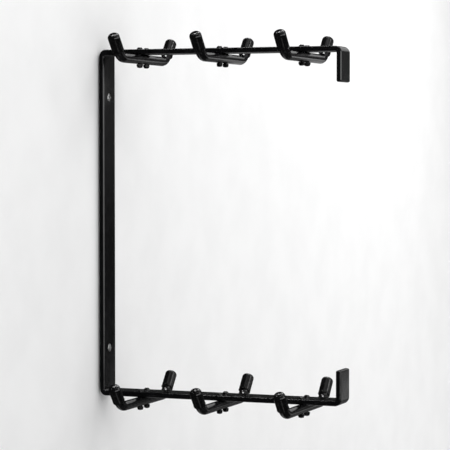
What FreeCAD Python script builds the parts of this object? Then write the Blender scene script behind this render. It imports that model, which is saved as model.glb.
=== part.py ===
"""Wall-mounted storage rack: one flat bar bent to a C, with three cross hooks under each arm.

Frame: millimetres, +Z up, the wall at y = 0 and the arms reaching along -Y. X runs across the bar,
parallel to the wall. The origin is the centre of the upright's back face, on the wall.

Each hook is a round tube bolted across the underside of an arm. Its base runs along X, both of its
ends turn up and outward into prongs, and each prong wears a closed vinyl sleeve.
"""
import FreeCAD, Part
import math
import os

from FreeCAD import Vector

# ---- Bent bar ------------------------------------------------------------------------------
RACK_HEIGHT = 800.0          # outside of the upper arm to outside of the lower arm
ARM_REACH = 587.0            # wall to the outside of the end lips
LIP_LENGTH = 80.0            # outside of an arm to the free end of its lip
BAR_WIDTH = 65.0
BAR_THICKNESS = 12.0
BEND_INSIDE_RADIUS = 3.0
BAR_EDGE_RADIUS = 3.5        # the long edges are rolled
LIP_CORNER_RADIUS = 4.0

# ---- Hooks ---------------------------------------------------------------------------------
HOOKS_PER_ARM = 3
FIRST_HOOK = 97.0            # wall to the middle of the first hook
HOOK_PITCH = 196.5
TUBE_DIAMETER = 22.0
TUBE_WALL = 2.0
HOOK_BASE = 220.0            # straight run of the tube between its two bends
HOOK_BEND_RADIUS = 40.0      # at the centre line of the tube
PRONG_ANGLE = 50.0           # above the horizontal, degrees
PRONG_STRAIGHT = 42.0        # straight tube beyond a bend

# ---- Vinyl sleeves -------------------------------------------------------------------------
SLEEVE_WALL = 2.0
SLEEVE_CAP = 3.0             # thickness of the closed end
SLEEVE_END_RADIUS = 5.5      # rounding of the closed end

# ---- Hook bolts and lock nuts, M8 ----------------------------------------------------------
BOLT_SPACING = 38.0          # across the bar, between the two bolts of a hook
BOLT_DIAMETER = 8.0
BOLT_HOLE_DIAMETER = 9.0
BOLT_HEAD_DIAMETER = 14.0
BOLT_HEAD_HEIGHT = 4.4
BOLT_HEAD_EDGE = 0.5          # upright rim under the dome of the head
BOLT_HEAD_TOP_DIAMETER = 7.5  # flat ring around the socket
BOLT_SOCKET_FLATS = 5.0
BOLT_SOCKET_DEPTH = 2.6
BOLT_END_BEYOND_NUT = 0.8
BOLT_END_CHAMFER = 0.7
NUT_FLATS = 13.0
NUT_HEX_HEIGHT = 5.6
NUT_HEIGHT = 8.0
NUT_COLLAR_DIAMETER = 12.4
NUT_COLLAR_CHAMFER = 0.6
NUT_INSERT_DIAMETER = 10.2   # nylon ring held in the collar
NUT_INSERT_HEIGHT = 2.0
NUT_HEX_CHAMFER = 0.7        # depth of the corner chamfers

# ---- Wall screws, M10 countersunk ----------------------------------------------------------
WALL_SCREW_SPACING = 582.0
WALL_SCREW_DIAMETER = 10.0
WALL_SCREW_THREAD_DIAMETER = 9.4   # mean diameter of the threaded part, which starts at the wall
WALL_HOLE_DIAMETER = 11.0
WALL_SCREW_HEAD_DIAMETER = 20.0
WALL_SCREW_HEAD_EDGE = 0.6   # upright rim of the countersunk head
WALL_SCREW_INTO_WALL = 60.0
WALL_SCREW_TIP = 6.0         # length of the tapered tip
WALL_SCREW_SOCKET_FLATS = 6.0
WALL_SCREW_SOCKET_DEPTH = 3.5
COUNTERSINK_CLEARANCE = 0.2  # between the head and its countersink

# ---- Derived sizes -------------------------------------------------------------------------
HALF_HEIGHT = RACK_HEIGHT / 2
BEND_OUTSIDE_RADIUS = BEND_INSIDE_RADIUS + BAR_THICKNESS
TUBE_RADIUS = TUBE_DIAMETER / 2
SLEEVE_RADIUS = TUBE_RADIUS + SLEEVE_WALL
X_AXIS = Vector(1, 0, 0)
Y_AXIS = Vector(0, 1, 0)
Z_AXIS = Vector(0, 0, 1)
ORIGIN = Vector(0, 0, 0)


def save(shape, node):
    """Write one node's solid, or group of separate solids, to its own STEP file."""
    shape.exportStep("parts/" + node + ".step")


def rounded_polyline(corners, radii):
    """Closed wire in the YZ plane through (y, z) corners, each turned on an arc of its radius."""
    points = [Vector(0, y, z) for y, z in corners]
    count = len(points)
    arcs = []
    for i, corner in enumerate(points):
        before = (points[i - 1] - corner).normalize()
        after = (points[(i + 1) % count] - corner).normalize()
        half = before.getAngle(after) / 2
        setback = radii[i] / math.tan(half)
        middle = (before + after).normalize()
        to_arc = radii[i] / math.sin(half) - radii[i]
        arcs.append((corner + before * setback, corner + middle * to_arc, corner + after * setback))
    edges = []
    for i, (start, through, end) in enumerate(arcs):
        edges.append(Part.Arc(start, through, end).toShape())
        edges.append(Part.makeLine(end, arcs[(i + 1) % count][0]))
    return Part.Wire(edges)


def hexagon_prism(across_flats, height):
    """Hexagonal prism on the XY plane, with two flats facing along Y."""
    radius = across_flats / math.sqrt(3)
    corners = [Vector(radius * math.cos(k * math.pi / 3), radius * math.sin(k * math.pi / 3), 0)
               for k in range(6)]
    return Part.Face(Part.makePolygon(corners + corners[:1])).extrude(Z_AXIS * height)


def chamfered_hexagon(across_flats, height):
    """Hexagonal prism on the XY plane with its top corners chamfered, as on a nut."""
    corner_radius = across_flats / math.sqrt(3)
    turning = Part.makeCylinder(corner_radius, height)
    top_edge = [edge for edge in turning.Edges if edge.BoundBox.ZMin > height - NUT_HEX_CHAMFER]
    turning = turning.makeChamfer(NUT_HEX_CHAMFER, top_edge)
    return hexagon_prism(across_flats, height).common(turning)


# ---- Bent bar ------------------------------------------------------------------------------
def bar_blank():
    """The flat bar bent to a C, with rolled long edges and rounded corners at the lips."""
    z_top = HALF_HEIGHT
    y_end = -ARM_REACH
    t = BAR_THICKNESS
    z_lip = z_top - LIP_LENGTH
    outside = [(y_end, z_lip), (y_end, z_top), (0, z_top), (0, -z_top), (y_end, -z_top), (y_end, -z_lip)]
    inside = [(y_end + t, -z_lip), (y_end + t, t - z_top), (-t, t - z_top),
              (-t, z_top - t), (y_end + t, z_top - t), (y_end + t, z_lip)]
    bends = [BEND_OUTSIDE_RADIUS] * 4
    inner_bends = [BEND_INSIDE_RADIUS] * 4
    edge = BAR_EDGE_RADIUS
    profile = rounded_polyline(outside + inside, [edge] + bends + [edge, edge] + inner_bends + [edge])
    blank = Part.Face(profile).extrude(X_AXIS * BAR_WIDTH)
    blank.translate(X_AXIS * (-BAR_WIDTH / 2))
    for side in (-1, 1):
        blank = round_lip_corners(blank, side)
    rims = [e for e in blank.Edges if on_bar_side(e)]
    return blank.makeFillet(BAR_EDGE_RADIUS, rims)


def round_lip_corners(blank, side):
    """Round the corners of both lips on one side of the bar, seen from in front."""
    half = BAR_WIDTH / 2
    r = LIP_CORNER_RADIUS
    y0 = -ARM_REACH - 1
    for lip in (-1, 1):
        x, z = side * half, lip * (HALF_HEIGHT - LIP_LENGTH)
        centre = Vector(x - side * r, y0, z + lip * r)
        block = Part.makeBox(r, BAR_THICKNESS + 2, r,
                             Vector(min(x, centre.x), y0, min(z, centre.z)))
        rod = Part.makeCylinder(r, BAR_THICKNESS + 2, centre, Y_AXIS)
        blank = blank.cut(block.cut(rod))
    return blank


def on_bar_side(edge):
    """True for the outline of a side face of the bar."""
    box = edge.BoundBox
    half = BAR_WIDTH / 2
    return box.XLength < 0.001 and abs(abs(box.Center.x) - half) < 0.001


def wall_screw_heights():
    return {"upper": WALL_SCREW_SPACING / 2, "lower": -WALL_SCREW_SPACING / 2}


def hook_places():
    """Hook name, distance from the wall and height of its tube's centre line."""
    under_arm = {"upper": HALF_HEIGHT - BAR_THICKNESS, "lower": -HALF_HEIGHT}
    for arm, z_under in under_arm.items():
        for k in range(HOOKS_PER_ARM):
            yield f"{arm}_hook_{k + 1}", -(FIRST_HOOK + k * HOOK_PITCH), z_under - TUBE_RADIUS


def bolt_offsets():
    return (-BOLT_SPACING / 2, BOLT_SPACING / 2)


def c_frame():
    """The bent bar with its countersunk wall holes and its hook bolt holes."""
    bar = bar_blank()
    cuts = []
    head_radius = WALL_SCREW_HEAD_DIAMETER / 2 + COUNTERSINK_CLEARANCE
    hole_radius = WALL_HOLE_DIAMETER / 2
    sink_depth = head_radius - hole_radius
    for z in wall_screw_heights().values():
        cuts.append(Part.makeCylinder(hole_radius, BAR_THICKNESS, Vector(0, 0, z), -Y_AXIS))
        front = Vector(0, -BAR_THICKNESS, z)
        rim = WALL_SCREW_HEAD_EDGE
        cuts.append(Part.makeCylinder(head_radius, rim, front, Y_AXIS))
        cuts.append(Part.makeCone(head_radius, hole_radius, sink_depth, front + Y_AXIS * rim, Y_AXIS))
    for _, y, z_tube in hook_places():
        for x in bolt_offsets():
            base = Vector(x, y, z_tube + TUBE_RADIUS)
            cuts.append(Part.makeCylinder(BOLT_HOLE_DIAMETER / 2, BAR_THICKNESS, base, Z_AXIS))
    return bar.cut(cuts)


# ---- Hooks ---------------------------------------------------------------------------------
def prong_end():
    """Centre line of the right prong: the end of its bend, and its direction (x, z)."""
    angle = math.radians(PRONG_ANGLE)
    x = HOOK_BASE / 2 + HOOK_BEND_RADIUS * math.sin(angle)
    z = HOOK_BEND_RADIUS * (1 - math.cos(angle))
    return Vector(x, 0, z), Vector(math.cos(angle), 0, math.sin(angle))


def hook_path():
    """Centre line of a hook from its left end to its right end, base at z = 0."""
    bend_end, along = prong_end()
    half_angle = math.radians(PRONG_ANGLE) / 2
    bend_start = Vector(HOOK_BASE / 2, 0, 0)
    bend_middle = bend_start + Vector(HOOK_BEND_RADIUS * math.sin(half_angle), 0,
                                      HOOK_BEND_RADIUS * (1 - math.cos(half_angle)))
    tip = bend_end + along * PRONG_STRAIGHT
    right = [bend_start, bend_middle, bend_end, tip]
    left = [Vector(-p.x, p.y, p.z) for p in right]
    return Part.Wire([Part.makeLine(left[3], left[2]),
                      Part.Arc(left[2], left[1], left[0]).toShape(),
                      Part.makeLine(left[0], right[0]),
                      Part.Arc(right[0], right[1], right[2]).toShape(),
                      Part.makeLine(right[2], right[3])])


def swept_rod(radius):
    path = hook_path()
    start = path.Edges[0].Vertexes[0].Point
    direction = path.Edges[0].tangentAt(path.Edges[0].FirstParameter)
    section = Part.Wire(Part.makeCircle(radius, start, direction))
    return path.makePipeShell([section], True, True)


def hook_tube():
    """Bent tube with two bolt holes through its base; centre line of the base at the origin."""
    tube = swept_rod(TUBE_RADIUS).cut(swept_rod(TUBE_RADIUS - TUBE_WALL))
    for x in bolt_offsets():
        below = Vector(x, 0, -TUBE_RADIUS)
        tube = tube.cut(Part.makeCylinder(BOLT_HOLE_DIAMETER / 2, TUBE_DIAMETER, below))
    return tube


def sleeve(side):
    """Closed vinyl sleeve over one prong: side -1 is left, 1 is right."""
    length = PRONG_STRAIGHT + SLEEVE_CAP
    body = Part.makeCylinder(SLEEVE_RADIUS, length)
    closed = [e for e in body.Edges if e.BoundBox.ZMin > length - 0.001]
    body = body.makeFillet(min(SLEEVE_END_RADIUS, SLEEVE_RADIUS * 0.9), closed)
    body = body.cut(Part.makeCylinder(TUBE_RADIUS, PRONG_STRAIGHT))
    foot, along = prong_end()
    body.Placement = FreeCAD.Placement(foot, FreeCAD.Rotation(Z_AXIS, along))
    if side < 0:
        body = body.mirror(ORIGIN, X_AXIS)
    return body


def bolt_head():
    """Button head standing on z = 0: a low dome on the axis, with a hexagon socket."""
    edge, rim = BOLT_HEAD_DIAMETER / 2, BOLT_HEAD_EDGE
    flat, top = BOLT_HEAD_TOP_DIAMETER / 2, BOLT_HEAD_HEIGHT
    centre = (flat ** 2 + top ** 2 - edge ** 2 - rim ** 2) / (2 * (top - rim))
    radius = math.hypot(edge, rim - centre)
    middle = (math.atan2(rim - centre, edge) + math.atan2(top - centre, flat)) / 2
    on_dome = Vector(radius * math.cos(middle), 0, centre + radius * math.sin(middle))
    dome = Part.Arc(Vector(edge, 0, rim), on_dome, Vector(flat, 0, top)).toShape()
    foot = Part.makePolygon([ORIGIN, Vector(edge, 0, 0), Vector(edge, 0, rim)])
    axis = Part.makePolygon([Vector(flat, 0, top), Vector(0, 0, top), ORIGIN])
    profile = Part.Face(Part.Wire(foot.Edges + [dome] + axis.Edges))
    socket = hexagon_prism(BOLT_SOCKET_FLATS, BOLT_SOCKET_DEPTH)
    socket.translate(Z_AXIS * (top - BOLT_SOCKET_DEPTH))
    return profile.revolve(ORIGIN, Z_AXIS, 360).cut(socket)


def bolt():
    """Button-head bolt from the top of the arm; z = 0 is the seat of its head."""
    grip = BAR_THICKNESS + TUBE_DIAMETER + NUT_HEIGHT
    length = grip + BOLT_END_BEYOND_NUT
    shank = Part.makeCylinder(BOLT_DIAMETER / 2, length, Vector(0, 0, -length))
    end = [e for e in shank.Edges if e.BoundBox.ZMax < -length + 0.001]
    shank = shank.makeChamfer(BOLT_END_CHAMFER, end)
    return bolt_head().fuse(shank).removeSplitter()


def insert_seat():
    """Space of the nylon ring at the end of the nut, as an upright cylinder's base and height."""
    return Vector(0, 0, NUT_HEIGHT - NUT_INSERT_HEIGHT), NUT_INSERT_HEIGHT


def lock_nut():
    """Lock nut standing on z = 0 with its collar up."""
    hexagon = chamfered_hexagon(NUT_FLATS, NUT_HEX_HEIGHT)
    collar = Part.makeCylinder(NUT_COLLAR_DIAMETER / 2, NUT_HEIGHT)
    top = [e for e in collar.Edges if e.BoundBox.ZMin > NUT_HEIGHT - 0.001]
    nut = hexagon.fuse(collar.makeChamfer(NUT_COLLAR_CHAMFER, top))
    nut = nut.cut(Part.makeCylinder(BOLT_DIAMETER / 2, NUT_HEIGHT))
    base, height = insert_seat()
    return nut.cut(Part.makeCylinder(NUT_INSERT_DIAMETER / 2, height, base))


def nut_insert():
    """Nylon ring of the lock nut, in the nut's own place."""
    base, height = insert_seat()
    ring = Part.makeCylinder(NUT_INSERT_DIAMETER / 2, height, base)
    return ring.cut(Part.makeCylinder(BOLT_DIAMETER / 2, height, base))


def bolted_row(piece, y, z, turned):
    """One piece at each bolt of a hook, hung upside down from z when turned."""
    copies = []
    for x in bolt_offsets():
        copy = piece.copy()
        if turned:
            copy.rotate(ORIGIN, X_AXIS, 180)
        copy.translate(Vector(x, y, z))
        copies.append(copy)
    return Part.makeCompound(copies)


def placed(piece, y, z):
    copy = piece.copy()
    copy.translate(Vector(0, y, z))
    return copy


# ---- Wall screws ---------------------------------------------------------------------------
def wall_screw(z):
    """Countersunk screw through the upright into the wall, head flush with the front face."""
    head_radius = WALL_SCREW_HEAD_DIAMETER / 2
    shank_radius = WALL_SCREW_DIAMETER / 2
    thread_radius = WALL_SCREW_THREAD_DIAMETER / 2
    front = Vector(0, -BAR_THICKNESS, z)
    wall = Vector(0, 0, z)
    under_rim = front + Y_AXIS * WALL_SCREW_HEAD_EDGE
    tip_start = WALL_SCREW_INTO_WALL - WALL_SCREW_TIP
    rim = Part.makeCylinder(head_radius, WALL_SCREW_HEAD_EDGE, front, Y_AXIS)
    cone = Part.makeCone(head_radius, shank_radius, head_radius - shank_radius, under_rim, Y_AXIS)
    shank = Part.makeCylinder(shank_radius, BAR_THICKNESS, front, Y_AXIS)
    thread = Part.makeCylinder(thread_radius, tip_start, wall, Y_AXIS)
    tip = Part.makeCone(thread_radius, thread_radius / 3, WALL_SCREW_TIP, wall + Y_AXIS * tip_start, Y_AXIS)
    socket = hexagon_prism(WALL_SCREW_SOCKET_FLATS, WALL_SCREW_SOCKET_DEPTH)
    socket.Placement = FreeCAD.Placement(front, FreeCAD.Rotation(Z_AXIS, Y_AXIS))
    return rim.fuse([cone, shank, thread, tip]).removeSplitter().cut(socket)


def main():
    os.makedirs("parts", exist_ok=True)
    save(c_frame(), "c_frame")
    for name, z in wall_screw_heights().items():
        save(wall_screw(z), f"{name}_wall_screw")
    tube, head_bolt, nut, insert = hook_tube(), bolt(), lock_nut(), nut_insert()
    sleeves = {"left": sleeve(-1), "right": sleeve(1)}
    for name, y, z in hook_places():
        save(placed(tube, y, z), f"{name}_tube")
        for side, piece in sleeves.items():
            save(placed(piece, y, z), f"{name}_{side}_sleeve")
        top_of_arm = z + TUBE_RADIUS + BAR_THICKNESS
        under_tube = z - TUBE_RADIUS
        save(bolted_row(head_bolt, y, top_of_arm, False), f"{name}_bolts")
        save(bolted_row(nut, y, under_tube, True), f"{name}_lock_nuts")
        save(bolted_row(insert, y, under_tube, True), f"{name}_nut_inserts")


main()
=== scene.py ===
"""Looks of a wall-mounted storage rack: a black bent bar, six bolted tube hooks in vinyl sleeves
and two zinc wall screws. Metres, +Z up, the wall at y = 0 and the arms reaching along -Y.

Every piece is a fresh mesh built round the CAD node it stands for: its place comes from that
node's box, and the sizes below are those that a box doesn't give.
"""

import math

import bmesh
import bpy
from mathutils import Matrix, Vector, noise


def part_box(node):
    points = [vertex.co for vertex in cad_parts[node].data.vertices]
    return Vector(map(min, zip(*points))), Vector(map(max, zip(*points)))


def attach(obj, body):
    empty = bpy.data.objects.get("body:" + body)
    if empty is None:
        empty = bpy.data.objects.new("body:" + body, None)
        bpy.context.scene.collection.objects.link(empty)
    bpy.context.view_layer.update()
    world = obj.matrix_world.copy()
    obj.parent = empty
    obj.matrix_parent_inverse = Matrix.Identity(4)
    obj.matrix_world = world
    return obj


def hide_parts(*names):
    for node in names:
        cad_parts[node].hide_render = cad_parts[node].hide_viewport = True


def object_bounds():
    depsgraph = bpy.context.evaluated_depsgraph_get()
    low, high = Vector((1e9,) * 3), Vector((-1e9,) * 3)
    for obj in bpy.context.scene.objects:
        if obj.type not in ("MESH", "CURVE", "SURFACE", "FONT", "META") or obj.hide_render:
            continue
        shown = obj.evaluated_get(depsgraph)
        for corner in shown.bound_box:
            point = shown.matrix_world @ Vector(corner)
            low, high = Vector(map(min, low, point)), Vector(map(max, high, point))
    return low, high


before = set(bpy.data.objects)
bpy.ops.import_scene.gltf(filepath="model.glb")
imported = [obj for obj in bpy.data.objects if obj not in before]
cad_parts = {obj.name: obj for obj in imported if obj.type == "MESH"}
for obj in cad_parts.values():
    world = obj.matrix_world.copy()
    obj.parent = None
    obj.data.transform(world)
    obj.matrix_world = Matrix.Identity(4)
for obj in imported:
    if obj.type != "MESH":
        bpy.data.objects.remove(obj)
cad_low, cad_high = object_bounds()

# ---- Sizes ---------------------------------------------------------------------------------
BAR_THICKNESS = 0.012
BEND_INSIDE_RADIUS = 0.003
BAR_EDGE_RADIUS = 0.0035
LIP_LENGTH = 0.080
LIP_CORNER_RADIUS = 0.004
LIP_ROLL_SHARE = 0.3         # how much of the lip's rolled end the width takes
BEND_BULGE = 0.0004          # the bar spreads inside a bend and draws in outside it

TUBE_RADIUS = 0.011
TUBE_BORE_RADIUS = 0.009
HOOK_BASE = 0.220
HOOK_BEND_RADIUS = 0.040
PRONG_ANGLE = math.radians(50)
PRONG_STRAIGHT = 0.042
BEND_FLATTENING = 0.018      # share of the radius that a bend loses in its own plane

SLEEVE_RADIUS = 0.0137       # the dip leaves the vinyl fuller than its mould
SLEEVE_CAP = 0.003
SLEEVE_END_RADIUS = 0.0073
SLEEVE_RIM = 0.00035         # the open end is a rolled rim that stands proud by this much
SLEEVE_SWELL = 0.00010       # unevenness of the dipped vinyl
# Rolled rim, as (step out from the sleeve's radius, distance from the open end)
RIM_PROFILE = [(-0.0007, 0.0), (-0.0001, 0.0002), (SLEEVE_RIM, 0.0008), (SLEEVE_RIM, 0.0016),
               (0.0, 0.0026)]
# Round groove in the closed end, as (radius, distance from the end)
CAP_GROOVE = [(0.0072, 0.0001), (0.0066, 0.0005), (0.0058, 0.0007), (0.0050, 0.0005),
              (0.0042, 0.0002), (0.0028, 0.0001), (0.0012, 0.00003), (0.00002, 0.00002)]

BOLT_SPACING = 0.038
BOLT_RADIUS = 0.004
BOLT_HOLE_RADIUS = 0.0045
BOLT_HEAD_RADIUS = 0.007
BOLT_HEAD_HEIGHT = 0.0044
BOLT_HEAD_EDGE = 0.0005      # upright rim under the dome
BOLT_HEAD_FLAT_RADIUS = 0.00375
BOLT_SOCKET_FLATS = 0.005
BOLT_SOCKET_DEPTH = 0.0026
BOLT_PAST_NUT = 0.0008
BOLT_END_CHAMFER = 0.0008
BOLT_THREAD_DEPTH = 0.0005
BOLT_HALF_PITCH = 0.000625
NUT_FLATS = 0.013
NUT_HEX_HEIGHT = 0.0056
NUT_HEIGHT = 0.008
NUT_COLLAR_RADIUS = 0.0062
NUT_COLLAR_BEND = 0.0007     # rounding of the collar's free edge
NUT_COLLAR_LIP = 0.00045     # reach of the collar over the nylon
NUT_INSERT_RADIUS = 0.0051
NUT_INSERT_HEIGHT = 0.002
HEX_CORNER = 1.145           # corner radius of a hexagon, in halves of its flats
HEX_CHAMFER_START = 0.97     # where its end chamfers start, in the same measure
HEX_FACE = 0.95              # radius of its flat faces
HEX_CHAMFER_SLOPE = math.tan(math.radians(30))

SCREW_HEAD_RADIUS = 0.010
SCREW_HEAD_EDGE = 0.0006
SCREW_SHANK_RADIUS = 0.005
SCREW_SHANK_END = 0.0125     # where the plain shank ends, from the face of the head
SCREW_THREAD_START = 0.014
SCREW_THREAD_FADE = 0.004    # run-in of the thread
SCREW_RIDGE_SHARE = 0.24     # half width of its ridge, as a share of the pitch
SCREW_ROOT_RADIUS = 0.0041
SCREW_CREST_RADIUS = 0.0050
SCREW_PITCH = 0.0045
SCREW_TIP = 0.010
SCREW_SOCKET_FLATS = 0.006
SCREW_SOCKET_DEPTH = 0.0035
SCREW_HOLE_RADIUS = 0.0055
SINK_RADIUS = 0.0102
SINK_MOUTH = 0.0003          # widening of the countersink at the bar's face
# Bevelled face of the head, as (share of its radius, depth)
SCREW_HEAD_PROFILE = [(0.56, 0.00003), (0.66, 0.0002), (0.76, 0.00043), (0.86, 0.0007),
                      (0.94, 0.00095), (0.965, 0.0012)]

CENTRE = 0.0001              # radius of the small ring that closes a bolt or screw
AXIS = 0.00002               # and of the one that closes a sleeve or a cutter
CUT_PAST = 0.002             # how far a cutter stands out of what it cuts

BAR_STEP = 0.022             # between the sections of a straight run of the bar
BAR_BEND_STEPS = 12
LIP_CORNER_STEPS = 7
BAR_EDGE_STEPS = 5
HOOK_BEND_STEPS = 18
TUBE_SIDES = 44
BOLT_HOLE_SIDES = 32
SINK_SIDES = 48
FIXING_SIDES = 72
INSERT_SIDES = 48
SCREW_SIDES = 48
SCREW_STEPS_PER_TURN = 14
STAGE_SIDES = 96

# ---- Studio sizes --------------------------------------------------------------------------
CAMERA_PLACE = Vector((-4.4498, -2.0212, 0.1820))
CAMERA_HEADING = math.radians(68.846)    # from the wall's normal towards +X
CAMERA_PITCH = math.radians(-2.200)
CAMERA_LENS = 167.84                     # mm, on the default 36 mm sensor

FLOOR_DROP = 0.85            # from the lowest hook to the floor
FLOOR_RADIUS = 2.6
FLOOR_SHADE = 0.55
WALL_GAP = 0.004             # between the upright's back and the uneven studio wall
WALL_RADIUS = 5.0
WALL_SHADE = 0.90
STAGE_GRAIN = 0.03           # how much lighter the pale patches of a stage surface are
FADE_START, FADE_END = 0.6, 0.99    # where its rim fades out, in shares of its radius

# Lamps: name, direction from the middle of the rack, distance, width, height and radiance
SOFTBOXES = [
    ("ceiling_left", (-0.45, -0.55, 1.0), 2.6, 0.5, 1.2, 4.0),
    ("ceiling_right", (0.55, -0.50, 1.0), 2.6, 0.5, 1.2, 5.0),
    ("low_right", (0.86, -0.36, 0.30), 3.0, 1.0, 1.2, 3.0),
]
# Pale card beside the upper hooks, which only reflections see
REFLECTOR_PLACE = Vector((0.275, -0.4025, 0.312))
REFLECTOR_WIDTH = 0.475
REFLECTOR_HEIGHT = 0.065
REFLECTOR_RADIANCE = 0.46

FILL_LIGHT = 0.88
ROOM_GLOW = 0.02
ROOM_BLUR = 0.015            # half of the soft edge of each lighter part
# Lighter parts of the dim room, which only reflections see: how light, and the range of x, y and z
# of the directions that lead there
ROOM_LIGHTS = [
    (2.90, (-0.92, 0.42), (-1.00, -0.35), (-0.097, 0.30)),   # tall windows in front
    (0.25, (-0.35, 0.80), (-0.95, -0.22), (0.08, 0.90)),     # pale room above and beside them
    (6.00, (0.08, 0.24), (-0.88, -0.68), (0.52, 0.68)),      # strip lamp in front
    (0.80, (-0.20, 0.12), (-0.52, -0.22), (0.80, 1.05)),     # pale ceiling
    (0.55, (-0.42, -0.12), (-0.31, 0.16), (0.80, 1.05)),     # its part towards the wall
    (0.08, (0.80, 1.05), (-1.00, -0.15), (-0.02, 0.15)),     # dim room to the right
    (2.00, (0.38, 0.70), (-0.95, -0.72), (-0.10, 0.10)),     # doorway to the front and right
    (0.50, (0.80, 1.05), (-0.36, -0.15), (-0.21, -0.105)),   # light floor far to the right
    (0.12, (0.80, 1.05), (-0.30, 0.30), (-0.60, -0.26)),     # floor nearer on that side
    (0.75, (0.85, 1.05), (-0.30, 0.15), (0.18, 0.44)),       # lamp far to the right
    (0.50, (0.05, 0.90), (0.25, 0.50), (-1.05, -0.12)),      # foot of the wall
    (0.09, (0.80, 1.05), (0.20, 0.50), (-0.10, 0.07)),       # wall far to the right
    (0.45, (-0.20, 0.04), (-0.56, -0.32), (-1.05, -0.78)),   # light patch on the floor
    (18.0, (0.09, 0.17), (0.24, 0.42), (0.80, 1.05)),        # lamp over the wall
    (10.0, (0.28, 0.56), (-0.20, 0.16), (0.78, 1.05)),       # lamp overhead
]

HOOKS = [f"{arm}_hook_{k}" for arm in ("upper", "lower") for k in (1, 2, 3)]
WALL_SCREWS = ("upper_wall_screw", "lower_wall_screw")
TURN = 2 * math.pi


# ---- Material nodes ------------------------------------------------------------------------
def new_material(name):
    """A node material with a Principled surface; returns the material, its tree and the shader."""
    material = bpy.data.materials.new(name)
    material.use_nodes = True
    tree = material.node_tree
    shader = next(n for n in tree.nodes if n.type == "BSDF_PRINCIPLED")
    return material, tree, shader


def noise_value(tree, cells, detail=3.0, stretch=(1, 1, 1)):
    """Fractal noise in object space, in cells per metre."""
    place = tree.nodes.new("ShaderNodeTexCoord")
    mapping = tree.nodes.new("ShaderNodeMapping")
    mapping.inputs["Scale"].default_value = stretch
    texture = tree.nodes.new("ShaderNodeTexNoise")
    texture.inputs["Scale"].default_value = cells
    texture.inputs["Detail"].default_value = detail
    tree.links.new(place.outputs["Object"], mapping.inputs["Vector"])
    tree.links.new(mapping.outputs["Vector"], texture.inputs["Vector"])
    return texture.outputs["Fac"]


def remap(tree, value, low, high, to_low, to_high):
    """Map low..high to to_low..to_high, clamped and smooth."""
    node = tree.nodes.new("ShaderNodeMapRange")
    node.interpolation_type = "SMOOTHSTEP"
    numbers = {"From Min": low, "From Max": high, "To Min": to_low, "To Max": to_high}
    for key, number in numbers.items():
        node.inputs[key].default_value = number
    tree.links.new(value, node.inputs["Value"])
    return node.outputs["Result"]


def calculate(tree, operation, first, second):
    """A Math node on two values, each a number or a socket."""
    node = tree.nodes.new("ShaderNodeMath")
    node.operation = operation
    for socket, value in zip(node.inputs, (first, second)):
        if isinstance(value, (int, float)):
            socket.default_value = value
        else:
            tree.links.new(value, socket)
    return node.outputs["Value"]


def paint(tree, shader, clouds, first, second, low=0.3):
    """Base colour that drifts from the first colour to the second with a noise value."""
    node = tree.nodes.new("ShaderNodeMix")
    node.data_type = "RGBA"
    sockets = [s for s in node.inputs if s.type == "RGBA"]
    for socket, colour in zip(sockets, (first, second)):
        socket.default_value = (*colour, 1)
    tree.links.new(remap(tree, clouds, low, 0.7, 0, 1), node.inputs["Factor"])
    blend = next(s for s in node.outputs if s.type == "RGBA")
    tree.links.new(blend, shader.inputs["Base Color"])


def polish(tree, shader, clouds, smooth, rough):
    """Roughness that drifts between two values with a noise value."""
    tree.links.new(remap(tree, clouds, 0.3, 0.7, smooth, rough), shader.inputs["Roughness"])


def bump(tree, shader, *layers):
    """Stack bump layers of (height value, depth in metres) on the shader's normal."""
    normal = None
    for height, depth in layers:
        node = tree.nodes.new("ShaderNodeBump")
        node.inputs["Strength"].default_value = 1.0
        node.inputs["Distance"].default_value = depth
        tree.links.new(height, node.inputs["Height"])
        if normal is not None:
            tree.links.new(normal, node.inputs["Normal"])
        normal = node.outputs["Normal"]
    tree.links.new(normal, shader.inputs["Normal"])


def powder_coat(name, colour, gloss, peel_cells, peel_depth):
    """Black powder coat: sagging coat, orange peel and fine grain, with uneven gloss."""
    material, tree, shader = new_material(name)
    lighter = tuple(1.9 * c for c in colour)
    paint(tree, shader, noise_value(tree, 38, 4), colour, lighter, 0.35)
    polish(tree, shader, noise_value(tree, peel_cells / 3, 3), gloss - 0.05, gloss + 0.06)
    sag = noise_value(tree, 24, 1)
    peel = noise_value(tree, peel_cells, 2)
    grain = noise_value(tree, peel_cells * 5, 2)
    bump(tree, shader, (sag, 0.0004), (peel, peel_depth), (grain, peel_depth / 9))
    return material


def dipped_vinyl(name):
    """Glossy black vinyl with flow marks and pits."""
    material, tree, shader = new_material(name)
    clouds = noise_value(tree, 60, 3)
    paint(tree, shader, clouds, (0.0028, 0.0028, 0.0030), (0.0045, 0.0045, 0.0048))
    polish(tree, shader, noise_value(tree, 140, 3), 0.07, 0.15)
    flow = noise_value(tree, 110, 2)
    pits = noise_value(tree, 700, 2)
    bump(tree, shader, (flow, 0.00035), (pits, 0.00007))
    return material


def black_steel(name, dark, light):
    """Blackened steel: dark metal with a fine uneven bloom."""
    material, tree, shader = new_material(name)
    bloom = noise_value(tree, 350, 4)
    paint(tree, shader, bloom, (dark,) * 3, (light,) * 3)
    polish(tree, shader, bloom, 0.20, 0.32)
    shader.inputs["Metallic"].default_value = 0.9
    bump(tree, shader, (noise_value(tree, 1500, 3), 0.00002))
    return material


def black_nylon(name):
    """Matt black nylon, faintly cloudy."""
    material, tree, shader = new_material(name)
    clouds = noise_value(tree, 500, 3)
    paint(tree, shader, clouds, (0.030, 0.030, 0.033), (0.055, 0.055, 0.060))
    polish(tree, shader, clouds, 0.42, 0.56)
    bump(tree, shader, (noise_value(tree, 2200, 2), 0.00002))
    return material


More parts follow.
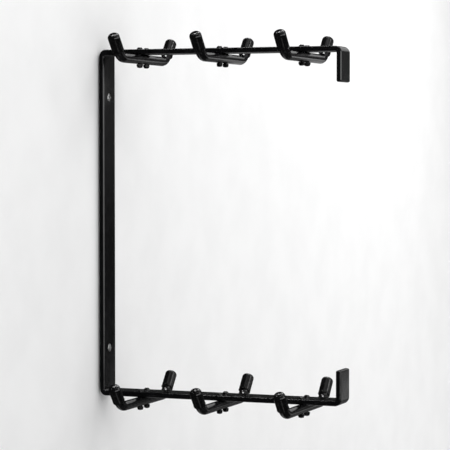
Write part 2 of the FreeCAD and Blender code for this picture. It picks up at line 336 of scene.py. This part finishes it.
def zinc_plate(name):
    """Bright zinc-plated steel with fine turning marks and a cloudy bloom."""
    material, tree, shader = new_material(name)
    bloom = noise_value(tree, 260, 4)
    paint(tree, shader, bloom, (0.50, 0.505, 0.51), (0.70, 0.70, 0.69))
    polish(tree, shader, bloom, 0.26, 0.42)
    shader.inputs["Metallic"].default_value = 1.0
    marks = noise_value(tree, 1400, 3, stretch=(1, 0.15, 1))
    bump(tree, shader, (marks, 0.00004))
    return material


# ---- Mesh building -------------------------------------------------------------------------
def ring(radius, z, count):
    """Circle of points at height z; radius may be a function of the angle."""
    points = []
    for k in range(count):
        angle = TURN * k / count
        r = radius(angle) if callable(radius) else radius
        points.append(Vector((r * math.cos(angle), r * math.sin(angle), z)))
    return points


def moved(placing, rings):
    """Rings of points carried to their place by a matrix."""
    return [[placing @ p for p in points] for points in rings]


def skin(bm, rings, closed=False):
    """Quads between rings of points; closed joins the last ring to the first, or else both ends
    are capped."""
    made = [[bm.verts.new(p) for p in points] for points in rings]
    pairs = list(zip(made, made[1:] + made[:1]))
    for a, b in pairs if closed else pairs[:-1]:
        for k in range(len(a)):
            n = (k + 1) % len(a)
            bm.faces.new((a[k], a[n], b[n], b[k]))
    if not closed:
        bm.faces.new(made[0][::-1])
        bm.faces.new(made[-1])


def turned(bm, profile, count, placing):
    """Closed lathe solid through (radius, z) points, given from one end's centre to the other's."""
    skin(bm, moved(placing, [ring(max(r, AXIS), z, count) for r, z in profile]))


def add_bolt_hole(cutter, low, high, placing):
    """Cylinder that cuts a bolt's hole, between two heights on the bolt's axis."""
    turned(cutter, [(0, low), (BOLT_HOLE_RADIUS, low), (BOLT_HOLE_RADIUS, high), (0, high)],
           BOLT_HOLE_SIDES, placing)


def finish_piece(name, bm, material, node, crease=35):
    bmesh.ops.recalc_face_normals(bm, faces=bm.faces)
    mesh = bpy.data.meshes.new(name)
    bm.to_mesh(mesh)
    bm.free()
    mesh.shade_smooth()
    mesh.set_sharp_from_angle(angle=math.radians(crease))
    mesh.materials.append(material)
    piece = bpy.data.objects.new(name, mesh)
    bpy.context.scene.collection.objects.link(piece)
    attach(piece, "root")
    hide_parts(node)
    return piece


def cut(piece, cutter):
    """Cut the cutter's mesh out of the piece, and weight its normals towards the large faces."""
    tool = bpy.data.objects.new("cutter", bpy.data.meshes.new("cutter"))
    bmesh.ops.recalc_face_normals(cutter, faces=cutter.faces)
    cutter.to_mesh(tool.data)
    cutter.free()
    bpy.context.scene.collection.objects.link(tool)
    modifier = piece.modifiers.new("cut", "BOOLEAN")
    modifier.operation = "DIFFERENCE"
    modifier.solver = "EXACT"
    modifier.object = tool
    evaluated = piece.evaluated_get(bpy.context.evaluated_depsgraph_get())
    shape = bpy.data.meshes.new_from_object(evaluated)
    piece.modifiers.clear()
    piece.data = shape
    shape.shade_smooth()
    shape.set_sharp_from_angle(angle=math.radians(30))
    bpy.data.objects.remove(tool)
    weighted = piece.modifiers.new("normals", "WEIGHTED_NORMAL")
    weighted.keep_sharp = True


# ---- Bent bar ------------------------------------------------------------------------------
def bar_section(half_width, half_thickness, radius, spread):
    """Rounded rectangle as (x, inward) pairs; spread is how much wider the inner face is."""
    points = []
    flat = half_width - radius
    for c, (sx, sn) in enumerate(((1, 1), (-1, 1), (-1, -1), (1, -1))):
        for k in range(BAR_EDGE_STEPS + 1):
            angle = math.pi / 2 * (c + k / BAR_EDGE_STEPS)
            points.append((sx * flat + radius * math.cos(angle),
                           sn * (half_thickness - radius) + radius * math.sin(angle)))
        if c in (0, 2):    # points across a broad face
            points += [(sx * flat * (1 - k / 3), sn * half_thickness) for k in range(1, 6)]
    return [(x * (1 + spread * n / half_thickness), n) for x, n in points]


def bar_stations(low, high):
    """Stations along the centre line from the upper lip to the lower: place, inward normal,
    distance from a lip's free end (1 on the other runs) and share of the way round a bend (0 on
    straight runs)."""
    half = BAR_THICKNESS / 2
    y_lip, y_wall = low.y + half, high.y - half
    z_top, z_bottom = high.z - half, low.z + half
    radius = BEND_INSIDE_RADIUS + half
    corners = [Vector((0, y_lip, high.z - LIP_LENGTH)), Vector((0, y_lip, z_top)),
               Vector((0, y_wall, z_top)), Vector((0, y_wall, z_bottom)),
               Vector((0, y_lip, z_bottom)), Vector((0, y_lip, low.z + LIP_LENGTH))]
    stations = []

    def run(start, end, inward, near_start, near_end):
        """Straight run, with closer stations round the corners of a lip's free end."""
        length = (end - start).length
        along = (end - start) / length
        count = max(2, round(length / BAR_STEP))
        places = [length * k / count for k in range(count + 1)]
        rounding = [LIP_CORNER_RADIUS * (1 - math.cos(math.pi / 2 * k / LIP_CORNER_STEPS))
                    for k in range(LIP_CORNER_STEPS + 1)]
        if near_start:
            places = rounding + [p for p in places if p > LIP_CORNER_RADIUS * 1.5]
        if near_end:
            places = [p for p in places if p < length - LIP_CORNER_RADIUS * 1.5]
            places += [length - r for r in reversed(rounding)]
        for p in places:
            end_distance = min(p if near_start else 1, length - p if near_end else 1)
            stations.append((start + along * p, inward, end_distance, 0.0))

    start = corners[0]
    for i in range(1, 5):
        before = (corners[i] - corners[i - 1]).normalized()
        after = (corners[i + 1] - corners[i]).normalized()
        turn_start, turn_end = corners[i] - before * radius, corners[i] + after * radius
        run(start, turn_start, after, i == 1, False)
        centre = turn_start + after * radius
        for k in range(1, BAR_BEND_STEPS):
            angle = math.pi / 2 * k / BAR_BEND_STEPS
            outward = -after * math.cos(angle) + before * math.sin(angle)
            stations.append((centre + outward * radius, -outward, 1.0, k / BAR_BEND_STEPS))
        start = turn_end
    run(start, corners[5], Vector((0, 1, 0)), False, True)
    return stations


def roll_back(radius, distance):
    """How far a quarter-round edge of this radius lies back at a distance from its end."""
    return radius - math.sqrt(max(0, radius * radius - (radius - distance) ** 2))


def bar_ring(station, half_width):
    """Section of the bar at a station, narrowed and thinned where a lip ends."""
    place, inward, end_distance, bend = station
    width, thickness = half_width, BAR_THICKNESS / 2
    if end_distance < LIP_CORNER_RADIUS:
        width -= roll_back(LIP_CORNER_RADIUS, end_distance)
    if end_distance < BAR_EDGE_RADIUS:
        roll = roll_back(BAR_EDGE_RADIUS, end_distance)
        thickness -= roll
        width -= roll * LIP_ROLL_SHARE
    radius = min(BAR_EDGE_RADIUS, thickness * 0.98)
    spread = BEND_BULGE / half_width * math.sin(math.pi * bend)
    section = bar_section(width, thickness, radius, spread)
    return [place + Vector((x, 0, 0)) + inward * n for x, n in section]


def make_bar(material):
    """The bent bar, with its countersunk screw holes and its bolt holes."""
    low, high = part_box("c_frame")
    half_width = high.x
    bm = bmesh.new()
    skin(bm, [bar_ring(s, half_width) for s in bar_stations(low, high)])
    piece = finish_piece("bent_bar", bm, material, "c_frame")
    cutter = bmesh.new()
    front = high.y - BAR_THICKNESS
    far_side = BAR_THICKNESS + CUT_PAST
    mouth = SINK_RADIUS + SINK_MOUTH
    sink_end = SCREW_HEAD_EDGE + SINK_RADIUS - SCREW_HOLE_RADIUS
    for node in WALL_SCREWS:
        screw_low, screw_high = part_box(node)
        z = (screw_low.z + screw_high.z) / 2
        placing = Matrix.Translation((0, front, z)) @ Matrix.Rotation(-math.pi / 2, 4, "X")
        turned(cutter, [(0, -CUT_PAST), (mouth, -CUT_PAST), (mouth, 0),
                        (SINK_RADIUS, SCREW_HEAD_EDGE), (SCREW_HOLE_RADIUS, sink_end),
                        (SCREW_HOLE_RADIUS, far_side), (0, far_side)], SINK_SIDES, placing)
    for hook in HOOKS:
        tube_low, tube_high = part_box(f"{hook}_tube")
        y, z = (tube_low.y + tube_high.y) / 2, tube_low.z + 2 * TUBE_RADIUS
        for side in (-1, 1):
            placing = Matrix.Translation((side * BOLT_SPACING / 2, y, z))
            add_bolt_hole(cutter, -CUT_PAST, far_side, placing)
    cut(piece, cutter)


# ---- Hooks ---------------------------------------------------------------------------------
def bend_place(side, angle):
    """Place on a hook's bend, at an angle from the base's end, from the middle of the base."""
    return Vector((side * (HOOK_BASE / 2 + HOOK_BEND_RADIUS * math.sin(angle)), 0,
                   HOOK_BEND_RADIUS * (1 - math.cos(angle))))


def prong(side):
    """End of the bend and direction of one prong, from the middle of the hook's base."""
    along = Vector((side * math.cos(PRONG_ANGLE), 0, math.sin(PRONG_ANGLE)))
    return bend_place(side, PRONG_ANGLE), along


def hook_stations():
    """Centre line of a hook from left tip to right tip: place, upward normal and bend share."""
    stations = []
    for side in (-1, 1):
        foot, along = prong(side)
        normal = Vector((-side * along.z, 0, abs(along.x)))
        half = [(foot + along * PRONG_STRAIGHT * (3 - k) / 3, normal, 0.0) for k in range(4)]
        for k in range(1, HOOK_BEND_STEPS + 1):
            angle = PRONG_ANGLE * (1 - k / HOOK_BEND_STEPS)
            upward = Vector((-side * math.sin(angle), 0, math.cos(angle)))
            half.append((bend_place(side, angle), upward, k / HOOK_BEND_STEPS))
        for k in range(1, 6):
            x = side * HOOK_BASE / 2 * (1 - k / 5.5)
            half.append((Vector((x, 0, 0)), Vector((0, 0, 1)), 0.0))
        stations += half if side < 0 else half[::-1]
    return stations


def tube_ring(station, radius):
    """Section of the tube at a station, slightly flattened inside a bend."""
    place, normal, bend = station
    loss = BEND_FLATTENING * math.sin(math.pi * bend)
    points = []
    for k in range(TUBE_SIDES):
        angle = TURN * k / TUBE_SIDES
        points.append(place + Vector((0, 1, 0)) * (radius * (1 + loss) * math.cos(angle))
                      + normal * (radius * (1 - loss) * math.sin(angle)))
    return points


def make_tube(hook, material):
    """Hollow bent tube of one hook, cross-drilled for its bolts; returns the middle of its base."""
    low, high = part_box(f"{hook}_tube")
    middle = Vector((0, (low.y + high.y) / 2, low.z + TUBE_RADIUS))
    stations = [(middle + p, n, b) for p, n, b in hook_stations()]
    outer = [tube_ring(s, TUBE_RADIUS) for s in stations]
    inner = [tube_ring(s, TUBE_BORE_RADIUS) for s in stations]
    bm = bmesh.new()
    skin(bm, outer + inner[::-1], closed=True)
    piece = finish_piece(f"{hook}_bent_tube", bm, material, f"{hook}_tube")
    cutter = bmesh.new()
    reach = TUBE_RADIUS + CUT_PAST
    for side in (-1, 1):
        placing = Matrix.Translation(middle + Vector((side * BOLT_SPACING / 2, 0, 0)))
        add_bolt_hole(cutter, -reach, reach, placing)
    cut(piece, cutter)
    return middle


def make_sleeve(hook, side, middle, material):
    """Dipped vinyl sleeve: rolled rim, slightly uneven wall and rounded closed end."""
    name = f"{hook}_{'left' if side < 0 else 'right'}"
    foot, along = prong(side)
    length = PRONG_STRAIGHT + SLEEVE_CAP
    end = SLEEVE_END_RADIUS
    outside = [(SLEEVE_RADIUS + step, z) for step, z in RIM_PROFILE]
    outside += [(SLEEVE_RADIUS, z / 1000) for z in range(5, 38, 3)]
    for k in range(9):
        angle = math.pi / 2 * k / 8
        outside.append((SLEEVE_RADIUS - end + end * math.cos(angle),
                        length - end + end * math.sin(angle)))
    outside += [(r, length - depth) for r, depth in CAP_GROOVE]
    inside = [(AXIS, PRONG_STRAIGHT), (TUBE_RADIUS - 0.002, PRONG_STRAIGHT),
              (TUBE_RADIUS, PRONG_STRAIGHT - 0.0005), (TUBE_RADIUS, 0.02), (TUBE_RADIUS, 0.0006),
              (TUBE_RADIUS + 0.0006, 0.0)]
    rings = []
    for r, z in outside:
        points = ring(r, z, TUBE_SIDES)
        if 0.002 < z < length - end:
            for k, p in enumerate(points):    # each sleeve has its own part of the noise
                seed = Vector((p.x * 90, p.y * 90, z * 70)) + middle * 31 + Vector((side * 5, 0, 0))
                points[k] = p * (1 + SLEEVE_SWELL * (noise.noise(seed) - 0.5) / r)
        rings.append(points)
    rings += [ring(r, z, TUBE_SIDES) for r, z in inside]
    turning = Vector((0, 0, 1)).rotation_difference(along).to_matrix().to_4x4()
    bm = bmesh.new()
    skin(bm, moved(Matrix.Translation(middle + foot) @ turning, rings), closed=True)
    bmesh.ops.remove_doubles(bm, verts=bm.verts, dist=0.00005)
    finish_piece(f"{name}_vinyl", bm, material, f"{name}_sleeve", 50)


# ---- Bolts and lock nuts -------------------------------------------------------------------
def hex_radius(flats, angle):
    """Distance from the axis to a hexagon's side at an angle, corners slightly rounded."""
    sector = (angle + math.pi / 6) % (math.pi / 3) - math.pi / 6
    return min(flats / 2 / math.cos(math.pi / 6 - abs(sector)), flats / 2 * HEX_CORNER)


def hex_ring(flats, z, count):
    """Hexagon of points at height z."""
    return ring(lambda angle: hex_radius(flats, angle), z, count)


def chamfered_hex_ring(flats, z, inward, count):
    """Hexagon whose corners draw back along z, where a chamfer meets the side wall."""
    points = hex_ring(flats, z, count)
    for p in points:
        p.z += inward * (math.hypot(p.x, p.y) - flats / 2 * HEX_CHAMFER_START) * HEX_CHAMFER_SLOPE
    return points


def dome_profile(steps):
    """(radius, height) points of the round dome between a bolt head's rim and its flat top."""
    centre = ((BOLT_HEAD_FLAT_RADIUS ** 2 + BOLT_HEAD_HEIGHT ** 2
               - BOLT_HEAD_RADIUS ** 2 - BOLT_HEAD_EDGE ** 2)
              / (2 * (BOLT_HEAD_HEIGHT - BOLT_HEAD_EDGE)))
    radius = math.hypot(BOLT_HEAD_RADIUS, BOLT_HEAD_EDGE - centre)
    first = math.atan2(BOLT_HEAD_EDGE - centre, BOLT_HEAD_RADIUS)
    last = math.atan2(BOLT_HEAD_HEIGHT - centre, BOLT_HEAD_FLAT_RADIUS)
    angles = [first + (last - first) * k / steps for k in range(steps + 1)]
    return [(radius * math.cos(a), centre + radius * math.sin(a)) for a in angles]


def add_bolt(bm, placing):
    """Button-head bolt, seat of its head at z = 0, its shank down to just past the nut."""
    count = FIXING_SIDES
    tip = -(BAR_THICKNESS + 2 * TUBE_RADIUS + NUT_HEIGHT + BOLT_PAST_NUT)
    rings = [ring(CENTRE, tip, count), ring(BOLT_RADIUS - BOLT_END_CHAMFER - 0.0001, tip, count),
             ring(BOLT_RADIUS - 0.0001, tip + BOLT_END_CHAMFER - 0.0002, count)]
    for k in range(12):
        groove = BOLT_THREAD_DEPTH if k % 2 else 0.0
        z = tip + BOLT_END_CHAMFER + k * BOLT_HALF_PITCH
        rings.append(ring(BOLT_RADIUS - groove, z, count))
    rings += [ring(BOLT_RADIUS, -0.0002, count), ring(BOLT_HEAD_RADIUS - 0.0003, 0, count),
              ring(BOLT_HEAD_RADIUS, 0.00015, count)]
    rings += [ring(r, z, count) for r, z in dome_profile(8)]
    top, bottom = BOLT_HEAD_HEIGHT, BOLT_HEAD_HEIGHT - BOLT_SOCKET_DEPTH
    rings += [ring(BOLT_HEAD_FLAT_RADIUS - 0.0003, top, count),
              ring(BOLT_SOCKET_FLATS / 2 * 1.17, top, count),
              hex_ring(BOLT_SOCKET_FLATS, top - 0.0003, count),
              hex_ring(BOLT_SOCKET_FLATS, bottom + 0.0002, count),
              ring(BOLT_SOCKET_FLATS / 2 * 0.9, bottom, count), ring(CENTRE, bottom, count)]
    skin(bm, moved(placing, rings))


def add_nut(bm, placing):
    """Lock nut standing on z = 0 with its rounded collar up and its bore open."""
    count = FIXING_SIDES
    collar, bend = NUT_COLLAR_RADIUS, NUT_COLLAR_BEND
    seat = NUT_HEIGHT - NUT_INSERT_HEIGHT
    bore = BOLT_RADIUS + 0.0001
    face = NUT_FLATS / 2 * HEX_FACE
    rings = [ring(face, 0.0, count), chamfered_hex_ring(NUT_FLATS, 0.0, 1, count),
             chamfered_hex_ring(NUT_FLATS, NUT_HEX_HEIGHT, -1, count),
             ring(face, NUT_HEX_HEIGHT, count), ring(collar, NUT_HEX_HEIGHT + 0.0001, count)]
    for k in range(5):
        angle = math.pi / 2 * k / 4
        rings.append(ring(collar - bend + bend * math.cos(angle),
                          NUT_HEIGHT - bend + bend * math.sin(angle), count))
    rings += [ring(NUT_INSERT_RADIUS - NUT_COLLAR_LIP, NUT_HEIGHT - 0.0003, count),
              ring(NUT_INSERT_RADIUS, NUT_HEIGHT - 0.0006, count),
              ring(NUT_INSERT_RADIUS, seat, count), ring(bore, seat, count), ring(bore, 0.0, count)]
    skin(bm, moved(placing, rings), closed=True)


def add_insert(bm, placing):
    """Nylon ring in a lock nut's collar, in the nut's own place."""
    low, high = NUT_HEIGHT - NUT_INSERT_HEIGHT, NUT_HEIGHT - 0.0005
    inner, outer = BOLT_RADIUS + 0.00005, NUT_INSERT_RADIUS - 0.00005
    profile = [(inner, low), (outer, low), (outer, high - 0.0002), (outer - 0.0003, high),
               (inner + 0.0003, high), (inner, high - 0.0003)]
    skin(bm, moved(placing, [ring(r, z, INSERT_SIDES) for r, z in profile]), closed=True)


def make_fixings(hook, index, middle, steel, nut_steel_painted_shade, nylon):
    """The two bolts, lock nuts and nylon rings of one hook, each turned as it was tightened."""
    top = middle.z + TUBE_RADIUS + BAR_THICKNESS
    bottom = middle.z - TUBE_RADIUS
    bolts, nuts, inserts = bmesh.new(), bmesh.new(), bmesh.new()
    for side in (-1, 1):
        x = side * BOLT_SPACING / 2
        twist = math.radians(17 * index + (23 if side > 0 else 0))
        above = Matrix.Translation((x, middle.y, top)) @ Matrix.Rotation(twist, 4, "Z")
        below = (Matrix.Translation((x, middle.y, bottom)) @ Matrix.Rotation(math.pi, 4, "X")
                 @ Matrix.Rotation(twist * 2.3, 4, "Z"))
        add_bolt(bolts, above)
        add_nut(nuts, below)
        add_insert(inserts, below)
    finish_piece(f"{hook}_button_bolts", bolts, steel, f"{hook}_bolts", 25)
    finish_piece(f"{hook}_collar_nuts", nuts, nut_steel_painted_shade, f"{hook}_lock_nuts", 25)
    finish_piece(f"{hook}_nylon_rings", inserts, nylon, f"{hook}_nut_inserts", 40)


# ---- Wall screws ---------------------------------------------------------------------------
def thread_radius(angle, z, length):
    """Radius of a wall screw's thread, which fades in after the shank and tapers at the tip."""
    taper = min(1.0, (length - z) / SCREW_TIP)
    phase = (z / SCREW_PITCH - angle / TURN) % 1
    ridge = max(0.0, 1 - abs(phase - 0.5) / SCREW_RIDGE_SHARE)
    fade = min(1.0, (z - SCREW_THREAD_START) / SCREW_THREAD_FADE)
    core = SCREW_ROOT_RADIUS * (0.12 + 0.88 * taper ** 0.8)
    return core + (SCREW_CREST_RADIUS - SCREW_ROOT_RADIUS) * ridge * fade * taper ** 0.5


def make_wall_screw(node, material):
    """Countersunk hex-socket screw: +Z of its own axis points into the wall."""
    low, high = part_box(node)
    length = high.y - low.y
    count = SCREW_SIDES
    head, flats, depth = SCREW_HEAD_RADIUS, SCREW_SOCKET_FLATS, SCREW_SOCKET_DEPTH
    rings = [ring(CENTRE, depth + 0.0008, count), hex_ring(flats * 0.9, depth, count),
             hex_ring(flats, depth - 0.0002, count), hex_ring(flats, 0.0004, count),
             ring(lambda angle: max(hex_radius(flats, angle), flats / 2 * 1.13), 0.0, count)]
    rings += [ring(head * share, z, count) for share, z in SCREW_HEAD_PROFILE]
    rings += [ring(SCREW_SHANK_RADIUS, SCREW_HEAD_EDGE + head - SCREW_SHANK_RADIUS, count),
              ring(SCREW_SHANK_RADIUS, SCREW_SHANK_END, count)]
    threaded = length - SCREW_THREAD_START
    steps = int(threaded / SCREW_PITCH * SCREW_STEPS_PER_TURN)
    for k in range(steps + 1):
        z = SCREW_THREAD_START + threaded * k / steps
        rings.append(ring(lambda angle: thread_radius(angle, z, length), z, count))
    placing = (Matrix.Translation((0, low.y, (low.z + high.z) / 2))
               @ Matrix.Rotation(-math.pi / 2, 4, "X"))
    bm = bmesh.new()
    skin(bm, moved(placing, rings))
    finish_piece(f"{node}_threaded", bm, material, node, 32)


# ---- Studio --------------------------------------------------------------------------------
def aim(thing, target):
    """Turn a camera or lamp so that it looks at a point, upright."""
    thing.rotation_mode = "QUATERNION"
    thing.rotation_quaternion = (target - thing.location).to_track_quat("-Z", "Y")


def add_camera():
    """Long-lens camera, a little in front of the wall and far to the left."""
    heading, pitch = CAMERA_HEADING, CAMERA_PITCH
    ahead = Vector((math.sin(heading) * math.cos(pitch), math.cos(heading) * math.cos(pitch),
                    math.sin(pitch)))
    camera = bpy.data.objects.new("camera", bpy.data.cameras.new("camera"))
    camera.data.lens = CAMERA_LENS
    camera.data.clip_end = 60
    camera.location = CAMERA_PLACE
    bpy.context.scene.collection.objects.link(camera)
    aim(camera, CAMERA_PLACE + ahead)
    bpy.context.scene.camera = camera


def add_area_lamp(name, place, target, width, height, radiance):
    """Area lamp aimed at a point; radiance is what its face shows."""
    lamp = bpy.data.lights.new(name, "AREA")
    lamp.shape = "RECTANGLE"
    lamp.size, lamp.size_y = width, height
    lamp.energy = radiance * math.pi * width * height
    box = bpy.data.objects.new(name, lamp)
    box.location = place
    bpy.context.scene.collection.objects.link(box)
    aim(box, target)
    return box


def add_lights(centre):
    """Softboxes that reflections don't see, and a card that only reflections see."""
    for name, direction, distance, *face in SOFTBOXES:
        place = centre + Vector(direction).normalized() * distance
        add_area_lamp(name, place, centre, *face).visible_glossy = False
    card = add_area_lamp("reflector", REFLECTOR_PLACE, REFLECTOR_PLACE - Vector((1, 0, 0)),
                         REFLECTOR_WIDTH, REFLECTOR_HEIGHT, REFLECTOR_RADIANCE)
    card.visible_camera = card.visible_diffuse = False


def between(tree, value, low, high, soft):
    """1 inside low..high, 0 outside, with soft edges."""
    rising = remap(tree, value, low - soft, low + soft, 0, 1)
    falling = remap(tree, value, high - soft, high + soft, 1, 0)
    return calculate(tree, "MULTIPLY", rising, falling)


def add_world():
    """White to the camera, a dim room to reflections, and an even soft fill for the rest."""
    world = bpy.data.worlds.new("studio")
    bpy.context.scene.world = world
    world.use_nodes = True
    world.cycles.sampling_method = "NONE"
    tree = world.node_tree
    shader = next(n for n in tree.nodes if n.type == "BACKGROUND")
    direction = tree.nodes.new("ShaderNodeTexCoord")
    parts = tree.nodes.new("ShaderNodeSeparateXYZ")
    tree.links.new(direction.outputs["Generated"], parts.inputs["Vector"])
    glow = ROOM_GLOW
    for share, *ranges in ROOM_LIGHTS:
        for axis, (low, high) in zip("XYZ", ranges):
            inside = between(tree, parts.outputs[axis], low, high, ROOM_BLUR)
            share = calculate(tree, "MULTIPLY", share, inside)
        glow = calculate(tree, "ADD", glow, share)
    path = tree.nodes.new("ShaderNodeLightPath")
    camera = path.outputs["Is Camera Ray"]
    mirrored = calculate(tree, "MAXIMUM", path.outputs["Is Glossy Ray"],
                         path.outputs["Is Transmission Ray"])
    plain = calculate(tree, "SUBTRACT", 1.0, calculate(tree, "MAXIMUM", mirrored, camera))
    level = calculate(tree, "ADD", camera, calculate(tree, "MULTIPLY", mirrored, glow))
    level = calculate(tree, "ADD", level, calculate(tree, "MULTIPLY", plain, FILL_LIGHT))
    tree.links.new(level, shader.inputs["Strength"])
    shader.inputs["Color"].default_value = (1, 1, 1, 1)


def fade_at_rim(tree, shader, radius):
    """Let the white backdrop show through a stage surface towards its rim, and from behind it."""
    place = tree.nodes.new("ShaderNodeTexCoord")
    length = tree.nodes.new("ShaderNodeVectorMath")
    length.operation = "LENGTH"
    tree.links.new(place.outputs["Object"], length.inputs[0])
    rim = remap(tree, length.outputs["Value"], radius * FADE_START, radius * FADE_END, 0, 1)
    geometry = tree.nodes.new("ShaderNodeNewGeometry")
    clear = calculate(tree, "MAXIMUM", rim, geometry.outputs["Backfacing"])
    see_through = tree.nodes.new("ShaderNodeBsdfTransparent")
    mixed = tree.nodes.new("ShaderNodeMixShader")
    tree.links.new(clear, mixed.inputs["Fac"])
    tree.links.new(shader.outputs["BSDF"], mixed.inputs[1])
    tree.links.new(see_through.outputs["BSDF"], mixed.inputs[2])
    output = next(n for n in tree.nodes if n.type == "OUTPUT_MATERIAL")
    tree.links.new(mixed.outputs["Shader"], output.inputs["Surface"])


def add_stage(name, radius, shade, placing):
    """Round pale surface of the studio, facing its own +Z, which reflections don't see."""
    bm = bmesh.new()
    bm.faces.new([bm.verts.new(p) for p in ring(radius, 0, STAGE_SIDES)])
    mesh = bpy.data.meshes.new(name)
    bm.to_mesh(mesh)
    bm.free()
    surface = bpy.data.objects.new(name, mesh)
    surface.matrix_world = placing
    surface.visible_glossy = False
    bpy.context.scene.collection.objects.link(surface)
    material, tree, shader = new_material(f"pale_{name}")
    paint(tree, shader, noise_value(tree, 7, 4), (shade,) * 3, (shade + STAGE_GRAIN,) * 3)
    shader.inputs["Roughness"].default_value = 0.9
    shader.inputs["Specular IOR Level"].default_value = 0.1
    fade_at_rim(tree, shader, radius)
    mesh.materials.append(material)


# ---- The rack ------------------------------------------------------------------------------
add_camera()
add_world()
centre = (cad_low + cad_high) / 2
add_stage("floor", FLOOR_RADIUS, FLOOR_SHADE,
          Matrix.Translation((centre.x, centre.y, cad_low.z - FLOOR_DROP)))
add_stage("wall", WALL_RADIUS, WALL_SHADE,
          Matrix.Translation((0, WALL_GAP, 0)) @ Matrix.Rotation(math.pi / 2, 4, "X"))
add_lights(centre)

frame_coat = powder_coat("frame_powder_coat", (0.0024, 0.0024, 0.0027), 0.14, 400, 0.00013)
# The hooks have the frame's black powder coat, but with a lighter base: painted sheen standing in
# for the light that the tubes reflect.
tube_coat_painted_sheen = powder_coat("hook_powder_coat", (0.0040, 0.0040, 0.0043), 0.12, 480, 0.00005)
vinyl = dipped_vinyl("vinyl_sleeve")
# Bolts and nuts are one blackened steel in two copies: the bolts' lighter copy carries painted
# glints on their heads, and the nuts' darker copy is painted shade for their place under the tubes.
steel = black_steel("black_bolt", 0.030, 0.090)
nut_steel_painted_shade = black_steel("black_nut_painted_shade", 0.006, 0.020)
nylon = black_nylon("nut_nylon")
zinc = zinc_plate("zinc_screw")

make_bar(frame_coat)
for index, hook in enumerate(HOOKS):
    middle = make_tube(hook, tube_coat_painted_sheen)
    for side in (-1, 1):
        make_sleeve(hook, side, middle, vinyl)
    make_fixings(hook, index, middle, steel, nut_steel_painted_shade, nylon)
for node in WALL_SCREWS:
    make_wall_screw(node, zinc)

bpy.context.scene.view_settings.view_transform = "Standard"
bpy.context.view_layer.update()
